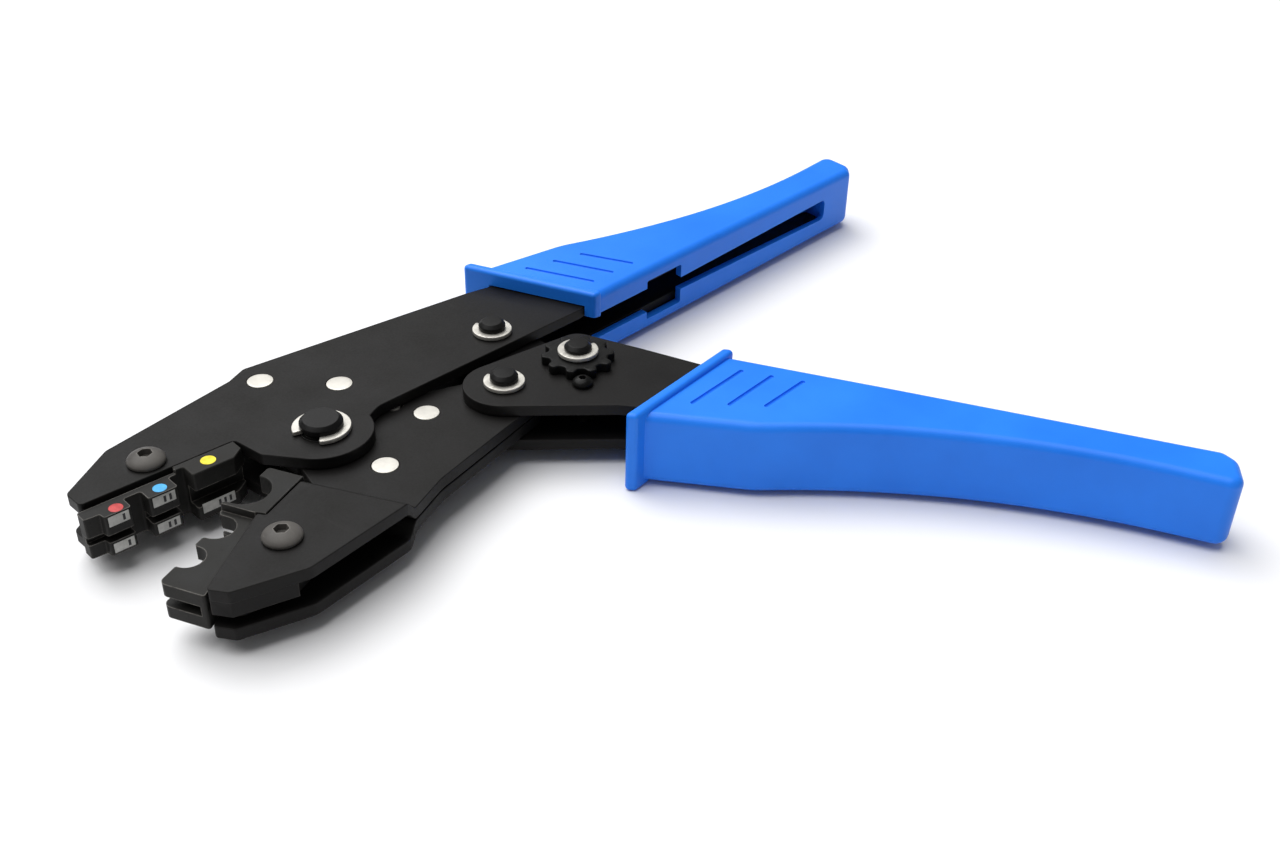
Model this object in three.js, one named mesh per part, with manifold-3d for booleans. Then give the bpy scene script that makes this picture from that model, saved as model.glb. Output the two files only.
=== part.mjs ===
// Ratchet crimping tool with four-bar toggle action, interchangeable dies and two moulded grips.
// Millimetres. The main pivot stands on the Z axis, the jaws point to -X, the handles to +X,
// and the tool lies flat on the plane z = 0.
import * as THREE from 'three';
import { mergeVertices } from 'three/addons/utils/BufferGeometryUtils.js';
import Module from 'manifold-3d';

const wasm = await Module();
wasm.setup();

// Levels over the mid-plane of the tool
const MID_Z = 9.35;
const PLATE_IN = 3.0;
const PLATE_OUT = 5.5;
const CORE = 2.8;
const CORE_GAP = 0.15;

// Pivot axes with the tool open
const MAIN = [0, 0];
const LINK = [50.7, 0];
const HANDLE = [35.9, -16.7];
const TOGGLE = [53.2, -23.0];
const ECCENTRICITY = 0.4;
const WHEEL = [TOGGLE[0] - ECCENTRICITY, TOGGLE[1]];

// Jaw line of the fixed jaw and the travel of the moving jaw, in degrees
const JAW_LINE = 170.8;
const JAW_TRAVEL = 25.13;

// Pins, clips and play
const MAIN_PIN_R = 4.4;
const PIN_TOP = 8.4;
const PIN_CHAMFER = 0.8;
const PIN_R = 3.0;
const ECCENTRIC_R = 3.6;
const PLAY = 0.08;
const CLIP_T = 0.9;
const RIVET_R = 2.7;
const SCREW_R = 2.0;
const SCREW_HEAD_R = 3.8;
const LINK_EYE_R = 4.7;
const LINK_EYE = [49.5, -0.6];

// Fastener positions
const FRAME_RIVETS = [[4.6, 23.9], [14.3, 10.3]];
const JAW_RIVETS = [[20.5, -8.8], [1.7, -15.8]];
const LOCK_SCREW = [46.1, -29.7];
const PAWL_PIVOT = [61.6, -37.9];
const PAWL_POST = [66.0, -53.0];
const SPRING_FRAME = [33.5, 14.5];
const SPRING_JAW = [18.0, -1.6];

// Dies, in jaw coordinates: u runs out along the jaw line, v across it towards the moving jaw
const DIE_Z = 4.5;
const MOVING_DIE_Z = 3.8;
const FIXED_SCREW = [31.2, -12.8];
const MOVING_SCREW = [33.1, 12.2];
const LUG_FACE = -3.0;
const NESTS = [
  { u: 23.0, v: -2.2, r: 4.6 },
  { u: 33.2, v: -1.8, r: 3.4 },
  { u: 42.4, v: -1.5, r: 3.1 },
];

// Grips, in grip coordinates: x runs from the flange to the end, y from the outer to the inner side
const GRIP_LENGTH = 121;
const GRIP_HALF = 8.3;
const GRIP_END_SCALE = 0.95;
const GRIP_TAPER_FROM = 50;
const FIXED_GRIP = { x: 64.1, y: 20.1, turn: -13.5, side: -1 };
const MOVING_GRIP = { x: 39.5, y: -45.9, turn: -62.94, side: 1 };

const COLOURS = {
  blacked: 0x2c2a28,
  steel: 0xd9d6cf,
  die: 0x3a3a3a,
  screw: 0x5b5a58,
  wheel: 0x161616,
  grip: 0x2f80e8,
};

const ARC_STEP = Math.PI / 10;
const rad = THREE.MathUtils.degToRad;

// ---------------------------------------------------------------- outlines

/** Points of a circle. */
function circle([cx, cy], r, count = 28) {
  return Array.from({ length: count }, (_, i) => {
    const a = (2 * Math.PI * i) / count;
    return [cx + r * Math.cos(a), cy + r * Math.sin(a)];
  });
}

/** Points of an arc from angle a0 to a1 in degrees. */
function arc([cx, cy], r, a0, a1, step = 15) {
  const count = Math.max(1, Math.ceil(Math.abs(a1 - a0) / step));
  return Array.from({ length: count + 1 }, (_, i) => {
    const a = rad(a0 + ((a1 - a0) * i) / count);
    return [cx + r * Math.cos(a), cy + r * Math.sin(a)];
  });
}

/** Closed outline from corners [x, y, radius]; a corner with a radius becomes an arc. */
function outline(corners) {
  const points = [];
  corners.forEach(([x, y, r = 0], i) => {
    if (!r) {
      points.push([x, y]);
      return;
    }
    const corner = new THREE.Vector2(x, y);
    const before = new THREE.Vector2(...corners.at(i - 1)).sub(corner).normalize();
    const after = new THREE.Vector2(...corners[(i + 1) % corners.length]).sub(corner).normalize();
    const half = Math.acos(before.dot(after)) / 2;
    const centre = before.clone().add(after).setLength(r / Math.sin(half)).add(corner);
    const start = before.setLength(r / Math.tan(half)).add(corner).sub(centre);
    const end = after.setLength(r / Math.tan(half)).add(corner).sub(centre);
    const sweep = Math.atan2(start.cross(end), start.dot(end));
    const count = Math.max(1, Math.ceil(Math.abs(sweep) / ARC_STEP));
    for (let k = 0; k <= count; k += 1) {
      const a = start.angle() + (sweep * k) / count;
      points.push([centre.x + r * Math.cos(a), centre.y + r * Math.sin(a)]);
    }
  });
  return points;
}

/** Turns points about the main pivot by an angle in degrees. */
function turned(points, degrees) {
  const c = Math.cos(rad(degrees));
  const s = Math.sin(rad(degrees));
  return points.map(([x, y, r]) => [c * x - s * y, s * x + c * y, r]);
}

/** Jaw coordinates of the moving jaw to tool coordinates with the tool open. */
const jawPoints = (points) => turned(points, JAW_LINE + JAW_TRAVEL);

/** Grip coordinates to tool coordinates. */
function gripPoints(grip, points) {
  const c = Math.cos(rad(grip.turn));
  const s = Math.sin(rad(grip.turn));
  return points.map(([x, y, r]) => [
    grip.x + c * x - s * grip.side * y,
    grip.y + s * x + c * grip.side * y,
    r,
  ]);
}

// ---------------------------------------------------------------- solids

const shapeOf = (points) => new THREE.Shape(points.map(([x, y]) => new THREE.Vector2(x, y)));

/** Flat prism between two levels over the mid-plane. */
function prism(points, low, high, holes = []) {
  const shape = shapeOf(points);
  holes.forEach((hole) => shape.holes.push(shapeOf(hole)));
  return new THREE.ExtrudeGeometry(shape, { depth: high - low, bevelEnabled: false }).translate(0, 0, low);
}

/** Prism with rounded edges, centred on the mid-plane. */
function softPrism(points, half, round, segments) {
  const options = {
    depth: 2 * (half - round),
    bevelThickness: round,
    bevelSize: round,
    bevelOffset: -round,
    bevelSegments: segments,
  };
  return new THREE.ExtrudeGeometry(shapeOf(points), options).translate(0, 0, round - half);
}

/** Solid of revolution about a vertical axis; the profile is [radius, level] pairs. */
function turnedPart([x, y], profile, segments = 28) {
  const points = profile.map(([r, z]) => new THREE.Vector2(r, z));
  return new THREE.LatheGeometry(points, segments).rotateX(Math.PI / 2).translate(x, y, 0);
}

function toSolid(geometry) {
  const bare = geometry.clone();
  bare.deleteAttribute('normal');
  bare.deleteAttribute('uv');
  const merged = mergeVertices(bare, 1e-4);
  return new wasm.Manifold(new wasm.Mesh({
    numProp: 3,
    vertProperties: new Float32Array(merged.attributes.position.array),
    triVerts: new Uint32Array(merged.index.array),
  }));
}

function toGeometry(solid) {
  const mesh = solid.getMesh();
  const geometry = new THREE.BufferGeometry();
  geometry.setAttribute('position', new THREE.BufferAttribute(mesh.vertProperties, 3));
  geometry.setIndex(new THREE.BufferAttribute(mesh.triVerts, 1));
  geometry.computeVertexNormals();
  return geometry;
}

const join = (...parts) => toGeometry(parts.map(toSolid).reduce((a, b) => a.add(b)));
const cut = (base, ...tools) => toGeometry(tools.map(toSolid).reduce((a, b) => a.subtract(b), toSolid(base)));
const common = (a, b) => toGeometry(toSolid(a).intersect(toSolid(b)));

/** Bar between two points of a plane, used to cut grooves. */
function bar([x0, y0], [x1, y1], width, low, high) {
  const length = Math.hypot(x1 - x0, y1 - y0);
  return new THREE.BoxGeometry(length, width, high - low)
    .rotateZ(Math.atan2(y1 - y0, x1 - x0))
    .translate((x0 + x1) / 2, (y0 + y1) / 2, (low + high) / 2);
}

function mesh(name, geometry, colour, metalness, roughness) {
  const material = new THREE.MeshStandardMaterial({ color: colour, metalness, roughness });
  const part = new THREE.Mesh(geometry, material);
  part.name = name;
  return part;
}

const blacked = (name, geometry) => mesh(name, geometry, COLOURS.blacked, 0.6, 0.5);
const bright = (name, geometry) => mesh(name, geometry, COLOURS.steel, 0.9, 0.3);

// ---------------------------------------------------------------- fasteners

/** Pivot pin with a head below, a clip groove above and a chamfered top. */
function pivotPin(axis, r, headR, headLow, clipLow, top) {
  const groove = r - 0.7;
  return turnedPart(axis, [
    [0, headLow],
    [headR - 0.6, headLow],
    [headR, headLow + 0.6],
    [headR, -PLATE_OUT - 0.15],
    [r, -PLATE_OUT - 0.15],
    [r, clipLow - 0.12],
    [groove, clipLow - 0.12],
    [groove, clipLow + CLIP_T + 0.12],
    [r, clipLow + CLIP_T + 0.12],
    [r, top - PIN_CHAMFER],
    [r - PIN_CHAMFER, top],
    [0, top],
  ]);
}

/** Open retaining ring that sits in a pin's groove; its gap faces the given direction. */
function retainingClip(axis, r, outerR, low, gapDirection) {
  const inner = r - 0.55;
  const halfGap = 33;
  const from = gapDirection + halfGap;
  const to = gapDirection + 360 - halfGap;
  const points = [...arc(axis, outerR, from, to), ...arc(axis, inner, to, from, 20)];
  return prism(points, low, low + CLIP_T);
}

/** Rivet ground flush, with a wide middle that keeps two plates apart. */
function spacerRivet(axis, collarR) {
  const end = PLATE_OUT + 0.06;
  return turnedPart(axis, [
    [0, -end],
    [RIVET_R, -end],
    [RIVET_R, -CORE - 0.1],
    [collarR, -CORE - 0.1],
    [collarR, CORE + 0.1],
    [RIVET_R, CORE + 0.1],
    [RIVET_R, end],
    [0, end],
  ], 24);
}

/** Button-head screw with a hexagon socket. */
function buttonScrew(axis, r, headR, headH, seat, low) {
  const dome = Array.from({ length: 4 }, (_, i) => {
    const a = rad(12 + 26 * i);
    return [headR * Math.cos(Math.min(a, Math.PI / 2)), seat + headH * Math.sin(Math.min(a, Math.PI / 2))];
  });
  const body = turnedPart(axis, [
    [0, low],
    [r - 0.4, low],
    [r, low + 0.4],
    [r, seat],
    [headR - 0.2, seat],
    ...dome.slice(0, 3),
    [0, seat + headH],
  ], 24);
  const socket = prism(circle(axis, headR * 0.37, 6), seat + headH * 0.35, seat + headH + 1);
  return cut(body, socket);
}

function hexNut(axis, boreR, low, high) {
  return prism(circle(axis, 4.04, 6), low, high, [circle(axis, boreR, 24)]);
}

/** Helical wire along a straight line, closed at both ends. */
function coilSpring(from, to, level, coilR, wireR, turns) {
  const start = new THREE.Vector3(from[0], from[1], level);
  const end = new THREE.Vector3(to[0], to[1], level);
  const along = end.clone().sub(start).normalize();
  const side = new THREE.Vector3(-along.y, along.x, 0);
  const up = new THREE.Vector3(0, 0, 1);
  const steps = turns * 10;
  const path = Array.from({ length: steps + 1 }, (_, i) => {
    const a = (2 * Math.PI * turns * i) / steps;
    return start.clone().lerp(end, i / steps)
      .addScaledVector(side, coilR * Math.cos(a))
      .addScaledVector(up, coilR * Math.sin(a));
  });
  return new THREE.ExtrudeGeometry(shapeOf(circle([0, 0], wireR, 5)), {
    steps,
    extrudePath: new THREE.CatmullRomCurve3(path),
  });
}

// ---------------------------------------------------------------- frame

/** Tang that runs into a grip, in grip coordinates. */
const TANG = [[62, 9.7], [107.2, 6.7, 1.5], [107.2, 11.5, 1.5], [62, 18.0], [17, 25.1], [13.6, 26.3]];
const FIXED_TANG_RIVET = [27, 14];
const MOVING_TANG_RIVETS = [[30, 15.5], [52, 14.5]];

/** Holes of the posts that stand in the lower plate only. */
const blindHoles = (low, ...holes) => (low < 0 ? holes : []);

function framePlate(low, high) {
  const tang = gripPoints(FIXED_GRIP, [[-3, 3.8, 0], ...TANG]);
  const corners = [
    [-45.2, 15.6, 1],
    [-13.4, 10.5, 1],
    [-13.4, 2.6, 2],
    ...arc(MAIN, 10.4, 207, 340),
    [13.2, -2.4, 6],
    ...tang.reverse(),
    [5.4, 30.4, 2],
    [0.4, 28.8, 2],
    [-31.4, 27.0, 2],
    [-44.6, 20.6, 1.5],
  ];
  const [screwX, screwY] = turned([FIXED_SCREW], JAW_LINE)[0];
  return prism(outline(corners), low, high, [
    circle(MAIN, MAIN_PIN_R + PLAY),
    circle(LINK, PIN_R + PLAY),
    ...blindHoles(low, circle(SPRING_FRAME, 1.5 + PLAY, 16)),
    circle([screwX, screwY], SCREW_R + PLAY, 24),
    circle(gripPoints(FIXED_GRIP, [FIXED_TANG_RIVET])[0], RIVET_R + PLAY, 24),
    ...FRAME_RIVETS.map((axis) => circle(axis, RIVET_R + PLAY, 24)),
  ]);
}

/** Three lugs with a row gap; the rear lug is as thick as the jaw and carries the largest size. */
function fixedDie() {
  const lugs = outline([
    [15.3, -8.1],
    [28.4, -8.1],
    [28.4, -7.5],
    [48.2, -7.5, 0.4],
    [48.2, -4.7, 0.4],
    [45.2, -4.5, 0.3],
    [45.0, LUG_FACE, 0.5],
    [39.7, LUG_FACE, 0.5],
    [39.7, -6.1, 0.6],
    [36.2, -6.1, 0.6],
    [36.2, LUG_FACE, 0.5],
    [30.2, LUG_FACE, 0.5],
    [30.2, -6.7, 0.6],
    [26.9, -6.7, 0.6],
    [26.9, LUG_FACE, 0.5],
    [18.1, LUG_FACE, 0.5],
    [15.3, -5.0, 0.4],
  ]);
  const front = prism([[28.6, -9], [50, -9], [50, 0], [28.6, 0]], -DIE_Z, DIE_Z);
  const rear = prism([[10, -9], [28.6, -9], [28.6, 0], [10, 0]], -PLATE_OUT, PLATE_OUT);
  const body = common(prism(lugs, -8, 8), join(front, rear));
  const tongue = prism(outline([
    [16.2, -7.6],
    [47.0, -7.0],
    [46.2, -12.6, 1],
    [35, -18.6, 3],
    [16.2, -18.6, 3],
  ]), -CORE, CORE);
  return cut(
    join(body, tongue),
    prism([[28.8, -5.8], [50, -5.8], [50, 0], [28.8, 0]], -1.5, 0.1),
    prism([[10, -5.8], [28.8, -5.8], [28.8, 0], [10, 0]], -2.4, 1.6),
    prism(circle(FIXED_SCREW, SCREW_R + PLAY, 24), -8, 8),
  );
}

// ---------------------------------------------------------------- moving jaw

const JOGGLE_TOP = [-14.5, -9.6];
const JOGGLE_DIRECTION = [0.331, -0.943];

// Wall under the edge of the upper cheek that closes the nose, in jaw coordinates
const NOSE_WALL = [[50.1, 8.2], [49.4, 12.0], [40.0, 19.5], [38.8, 18.2], [47.9, 11.0], [48.5, 7.9]];

/** Jaw cheek: flat at the pivot, stepped outwards so that the die sits between the two cheeks. */
function jawPlate(side) {
  const corners = [
    ...jawPoints([[50.4, 8.0, 0.8], [49.6, 12.2, 1.2]]),
    [-31.0, -31.1, 4],
    [-7.2, -31.0, 8],
    [5.2, -27.5, 10],
    ...arc(HANDLE, 7.6, -84, 63),
    ...arc(MAIN, 9.0, 63, 196),
    ...jawPoints([[14.3, 6.6, 1], [17.0, 5.65], [28.3, 5.65, 0.5], [28.7, 3.8, 0.5]]),
  ];
  const [nx, ny] = [-JOGGLE_DIRECTION[1], JOGGLE_DIRECTION[0]];
  const section = shapeOf([
    [-70, PLATE_IN],
    [-0.9, PLATE_IN],
    [1.9, CORE_GAP],
    [90, CORE_GAP],
    [90, CORE],
    [2.8, CORE],
    [0, PLATE_OUT],
    [-70, PLATE_OUT],
  ].map(([s, z]) => [s, side * z]));
  const basis = new THREE.Matrix4().makeBasis(
    new THREE.Vector3(nx, ny, 0),
    new THREE.Vector3(0, 0, 1),
    new THREE.Vector3(ny, -nx, 0),
  );
  const sheet = new THREE.ExtrudeGeometry(section, { depth: 140, bevelEnabled: false })
    .translate(0, 0, -70)
    .applyMatrix4(basis)
    .translate(...JOGGLE_TOP, 0);
  const screw = jawPoints([MOVING_SCREW])[0];
  const holes = [
    circle(MAIN, MAIN_PIN_R + PLAY),
    circle(HANDLE, PIN_R + PLAY),
    circle(screw, SCREW_R + PLAY, 24),
    ...JAW_RIVETS.map((axis) => circle(axis, RIVET_R + PLAY, 24)),
  ];
  const cheek = common(sheet, prism(outline(corners), -7, 7, holes));
  if (side < 0) {
    return cut(cheek, prism(circle(SPRING_JAW, 1.3 + PLAY, 20), -8, 8));
  }
  const slotEnd = towards(SPRING_JAW, SPRING_FRAME, 8);
  return cut(
    join(cheek, prism(jawPoints(NOSE_WALL), -0.4, 4)),
    prism(circle(SPRING_JAW, 2.0, 20), -8, 8),
    bar(SPRING_JAW, slotEnd, 4.0, -8, 8),
  );
}

/** Nested die: three round nests between horns in two rows, mating with the lugs. */
function movingDie() {
  const nest = ({ u, v, r }) => arc([u, v], r, 180, 0, 18);
  const horns = outline([
    [15.2, 5.3],
    [15.2, -2.5, 0.8],
    [18.4, -2.5, 0.2],
    ...nest(NESTS[0]),
    [27.6, -4.1, 0.8],
    [29.8, -4.1, 0.9],
    ...nest(NESTS[1]),
    [36.6, -2.5, 0.6],
    [39.3, -2.5, 0.6],
    ...nest(NESTS[2]),
    [45.5, -2.0, 0.4],
    [50.4, -2.0, 1.4],
    [50.4, 7.5, 0.5],
    [28.4, 3.3],
    [28.0, 5.3],
  ]);
  const front = prism([[28.6, -9], [52, -9], [52, 9], [28.6, 9]], -MOVING_DIE_Z, MOVING_DIE_Z);
  const rear = prism([[10, -9], [28.6, -9], [28.6, 9], [10, 9]], -PLATE_OUT, PLATE_OUT);
  const body = common(prism(horns, -8, 8), join(front, rear));
  const tongue = prism(outline([
    [18.6, 2.5],
    [47.6, 4.2],
    [46.6, 11.2, 2],
    [37.6, 17.0, 3],
    [18.6, 17.0, 3],
  ]), -CORE, CORE);
  return cut(
    join(body, tongue),
    prism([[28.8, -9], [52, -9], [52, 3.0], [28.8, 3.0]], -0.8, 0.7),
    prism([[45.5, -9], [52, -9], [52, 6.2], [45.5, 6.2]], -1.2, 1.0),
    prism([[10, -9], [28.8, -9], [28.8, 3.0], [10, 3.0]], -2.4, 1.6),
    prism(circle(MOVING_SCREW, SCREW_R + PLAY, 24), -8, 8),
  );
}

// ---------------------------------------------------------------- moving handle

function handlePlate(low, high) {
  const tang = gripPoints(MOVING_GRIP, [[-2.4, 6.8, 0], ...TANG]);
  const corners = [
    ...arc(HANDLE, 8.8, 74, 222),
    ...tang,
    [66.0, -29.8, 10],
    [62.6, -14.4, 4],
  ];
  return prism(outline(corners), low, high, [
    circle(HANDLE, PIN_R + PLAY),
    circle(WHEEL, PIN_R + PLAY),
    circle(LOCK_SCREW, 1.25 + PLAY, 16),
    ...blindHoles(low, circle(PAWL_PIVOT, 1.5 + PLAY, 16), circle(PAWL_POST, 1.0 + PLAY, 16)),
    ...gripPoints(MOVING_GRIP, MOVING_TANG_RIVETS).map((axis) => circle(axis, RIVET_R + PLAY, 24)),
  ]);
}

/** Pin whose middle runs off-centre: turning it with the star wheel sets the crimping force. */
function eccentricPin() {
  const ends = pivotPin(WHEEL, PIN_R, 4.6, -PLATE_OUT - 2.1, 7.85, 10.2);
  const middle = turnedPart(TOGGLE, [
    [0, -CORE - 0.1],
    [ECCENTRIC_R, -CORE - 0.1],
    [ECCENTRIC_R, CORE + 0.1],
    [0, CORE + 0.1],
  ]);
  return join(ends, middle);
}

/** Star wheel with round lobes; a notch faces the lock screw. */
function starWheel() {
  const lobes = 10;
  const toLock = Math.atan2(LOCK_SCREW[1] - WHEEL[1], LOCK_SCREW[0] - WHEEL[0]);
  const points = [];
  for (let i = 0; i < lobes; i += 1) {
    const a = toLock + ((i + 0.5) * 2 * Math.PI) / lobes;
    [[-0.62, 6.4], [-0.42, 7.4], [-0.2, 7.95], [0.2, 7.95], [0.42, 7.4], [0.62, 6.4]].forEach(([k, r]) => {
      const b = a + (k * Math.PI) / lobes;
      points.push([WHEEL[0] + r * Math.cos(b), WHEEL[1] + r * Math.sin(b)]);
    });
  }
  return prism(points, PLATE_OUT + 0.15, PLATE_OUT + 2.15, [circle(WHEEL, PIN_R + PLAY, 24)]);
}

// ---------------------------------------------------------------- toggle link and ratchet

/** Link from the frame to the toggle pin, with ratchet teeth around its lower head. */
function toggleLink() {
  const teeth = [];
  for (let a = -66; a < 18; a += 6) {
    teeth.push([a, 9.0], [a + 1.2, 10.0]);
  }
  const rack = teeth.map(([a, r]) => [TOGGLE[0] + r * Math.cos(rad(a)), TOGGLE[1] + r * Math.sin(rad(a))]);
  const corners = [
    ...arc(TOGGLE, 9.0, 148, 288),
    ...rack,
    ...arc(TOGGLE, 9.0, 18, 38),
    [57.6, -12.5, 5],
    ...arc(LINK, 9.0, -20, 200),
    [45.4, -11.5, 5],
  ];
  return prism(outline(corners), -CORE + 0.1, CORE - 0.1, [
    circle(TOGGLE, ECCENTRIC_R + PLAY),
    circle(LINK_EYE, LINK_EYE_R),
  ]);
}

/** Pawl that snaps over the ratchet teeth. */
function ratchetPawl() {
  const [x, y] = PAWL_PIVOT;
  const corners = [
    ...arc(PAWL_PIVOT, 3.4, -10, 80),
    [x - 2.4, y + 5.0, 0.4],
    [x - 4.9, y + 5.2, 0.3],
    [x - 4.2, y + 0.8, 1],
    ...arc(PAWL_PIVOT, 3.4, 200, 255),
    [x + 3.6, y - 5.4, 0.9],
    [x + 6.2, y - 3.6, 0.9],
  ];
  return prism(outline(corners), -2.4, 2.4, [circle(PAWL_PIVOT, 1.5 + PLAY, 20)]);
}

/** Plain cross pin. */
function crossPin(axis, r, low, high) {
  return turnedPart(axis, [[0, low], [r, low], [r, high], [0, high]], 20);
}

// ---------------------------------------------------------------- grips

/** Opening in the inner side of a grip, tapered in the x-z plane, that runs across y. */
function sideSlot([x0, half0], [x1, half1], round, yLow, yHigh) {
  const points = outline([
    [x0, -half0, round],
    [x1, -half1, round],
    [x1, half1, round],
    [x0, half0, round],
  ]);
  return new THREE.ExtrudeGeometry(shapeOf(points), { depth: yHigh - yLow, bevelEnabled: false })
    .rotateX(Math.PI / 2)
    .translate(0, yHigh, 0);
}

/** Hollow moulded grip with a flange, three thumb grooves and a slot along its inner side. */
function grip(side) {
  const hollow = [];
  for (let x = 34; x <= 112; x += 8.6) {
    hollow.push([x, 5.9 - (x - 72.5) ** 2 / 368]);
  }
  const body = softPrism(outline([
    [2.2, -0.2],
    [27, 0.3],
    ...hollow,
    [GRIP_LENGTH, -0.2, 2.5],
    [GRIP_LENGTH, 8.8, 3],
    [118.4, 11.8, 2.2],
    [17.2, 27.3],
  ]), GRIP_HALF, 1.8, 3);
  const vertices = body.attributes.position;
  for (let i = 0; i < vertices.count; i += 1) {
    const run = Math.max(0, vertices.getX(i) - GRIP_TAPER_FROM) / (GRIP_LENGTH - GRIP_TAPER_FROM);
    vertices.setZ(i, vertices.getZ(i) * (1 + (GRIP_END_SCALE - 1) * run));
  }
  const flange = softPrism(outline([
    [0, -2.5, 0.9],
    [3.0, -2.5, 0.9],
    [19.3, 28.3, 0.9],
    [16.3, 28.3, 0.9],
  ]), MID_Z, 0.7, 2);
  const pocket = prism([
    [-8, 3.3],
    [-3, 3.5],
    [62.4, 9.3],
    [107.6, 6.3],
    [107.6, 11.9],
    [62.4, 18.5],
    [17.2, 25.4],
    [13.4, 26.6],
    [-8, 26.6],
  ], -PLATE_OUT - 0.3, PLATE_OUT + 0.3);
  const grooves = [[12.7, 6.1, 21.5, 21.5], [20.2, 7, 28, 20.6], [27.6, 8, 34.7, 19.8]].flatMap(
    ([x0, y0, x1, y1]) => [-1, 1].map((face) => {
      const level = face * GRIP_HALF;
      return bar([x0, y0], [x1, y1], 1.0, level - 0.5, level + 0.5);
    }),
  );
  const shell = cut(
    join(body, flange),
    pocket,
    sideSlot([12, 3.2], [36.3, 3.2], 0.2, 12, 34),
    sideSlot([35.3, 5.2], [47.7, 5.2], 0.4, 12, 34),
    sideSlot([45, 1.6], [107.4, 2.9], 1.5, 9.0, 34),
    ...grooves,
  );
  return side < 0 ? toGeometry(toSolid(shell).mirror([0, 1, 0])) : shell;
}

function placedGrip(name, place) {
  const part = mesh(name, grip(place.side), COLOURS.grip, 0.0, 0.45);
  part.position.set(place.x, place.y, 0);
  part.rotation.z = rad(place.turn);
  return part;
}

// ---------------------------------------------------------------- assembly

/** Die with its clamping screw and nut; turn is the direction of the jaw line. */
function dieSet(prefix, geometry, axis, turn) {
  const set = new THREE.Group();
  set.name = `${prefix}_set`;
  set.rotation.z = rad(turn);
  set.add(mesh(prefix, geometry, COLOURS.die, 0.6, 0.6));
  const screw = buttonScrew(axis, SCREW_R, SCREW_HEAD_R, 2.2, PLATE_OUT + 0.1, -PLATE_OUT - 3.6);
  set.add(mesh(`${prefix}_screw`, screw, COLOURS.screw, 0.7, 0.45));
  const nut = hexNut(axis, SCREW_R + PLAY, -PLATE_OUT - 3.3, -PLATE_OUT - 0.1);
  set.add(mesh(`${prefix}_nut`, nut, COLOURS.screw, 0.7, 0.45));
  return set;
}

function pinWithClip(name, axis, r, headR, headLow, gapDirection, clipR) {
  const clipLow = PLATE_OUT + 0.15;
  return [
    blacked(name, pivotPin(axis, r, headR, headLow, clipLow, PIN_TOP)),
    bright(`${name}_clip`, retainingClip(axis, r, clipR, clipLow, gapDirection)),
  ];
}

function frameParts() {
  const tangRivet = gripPoints(FIXED_GRIP, [FIXED_TANG_RIVET])[0];
  return [
    blacked('frame_plate_upper', framePlate(PLATE_IN, PLATE_OUT)),
    blacked('frame_plate_lower', framePlate(-PLATE_OUT, -PLATE_IN)),
    ...FRAME_RIVETS.map((axis, i) => bright(`frame_rivet_${i + 1}`, spacerRivet(axis, 4.6))),
    blacked('frame_tang_rivet', spacerRivet(tangRivet, 4.2)),
    dieSet('fixed_die', fixedDie(), FIXED_SCREW, JAW_LINE),
    ...pinWithClip('main_pin', MAIN, MAIN_PIN_R, 6.2, -MID_Z, 190, 5.9),
    ...pinWithClip('link_pin', LINK, PIN_R, 4.6, -PLATE_OUT - 2.1, 60, 4.4),
    bright('spring_anchor_frame', crossPin(SPRING_FRAME, 1.5, -PLATE_OUT, CORE)),
    placedGrip('fixed_grip', FIXED_GRIP),
  ];
}

function jawParts() {
  return [
    blacked('jaw_plate_upper', jawPlate(1)),
    blacked('jaw_plate_lower', jawPlate(-1)),
    ...JAW_RIVETS.map((axis, i) => {
      return bright(`jaw_rivet_${i + 1}`, crossPin(axis, RIVET_R, -CORE - 0.06, CORE + 0.06));
    }),
    dieSet('moving_die', movingDie(), MOVING_SCREW, JAW_LINE + JAW_TRAVEL),
    ...pinWithClip('handle_pin', HANDLE, PIN_R, 4.6, -PLATE_OUT - 2.1, 60, 4.4),
    bright('spring_anchor_jaw', crossPin(SPRING_JAW, 1.3, -CORE, 2.6)),
  ];
}

function handleParts() {
  const rivets = gripPoints(MOVING_GRIP, MOVING_TANG_RIVETS);
  const lockScrew = buttonScrew(LOCK_SCREW, 1.25, 2.3, 1.8, PLATE_OUT + 0.1, PLATE_IN + 0.2);
  return [
    blacked('handle_plate_upper', handlePlate(PLATE_IN, PLATE_OUT)),
    blacked('handle_plate_lower', handlePlate(-PLATE_OUT, -PLATE_IN)),
    ...rivets.map((axis, i) => blacked(`handle_rivet_${i + 1}`, spacerRivet(axis, 4.2))),
    blacked('eccentric_pin', eccentricPin()),
    bright('eccentric_pin_clip', retainingClip(WHEEL, PIN_R, 4.4, 7.85, 20)),
    mesh('star_wheel', starWheel(), COLOURS.wheel, 0.5, 0.5),
    mesh('lock_screw', lockScrew, COLOURS.wheel, 0.5, 0.5),
    bright('pawl_pin', crossPin(PAWL_PIVOT, 1.5, -PLATE_OUT, CORE)),
    bright('pawl_spring_post', crossPin(PAWL_POST, 1.0, -PLATE_OUT, CORE)),
    placedGrip('moving_grip', MOVING_GRIP),
  ];
}

/** Point at a distance along the line from one point towards another. */
function towards([x0, y0], [x1, y1], distance) {
  const k = distance / Math.hypot(x1 - x0, y1 - y0);
  return [x0 + (x1 - x0) * k, y0 + (y1 - y0) * k];
}

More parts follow.
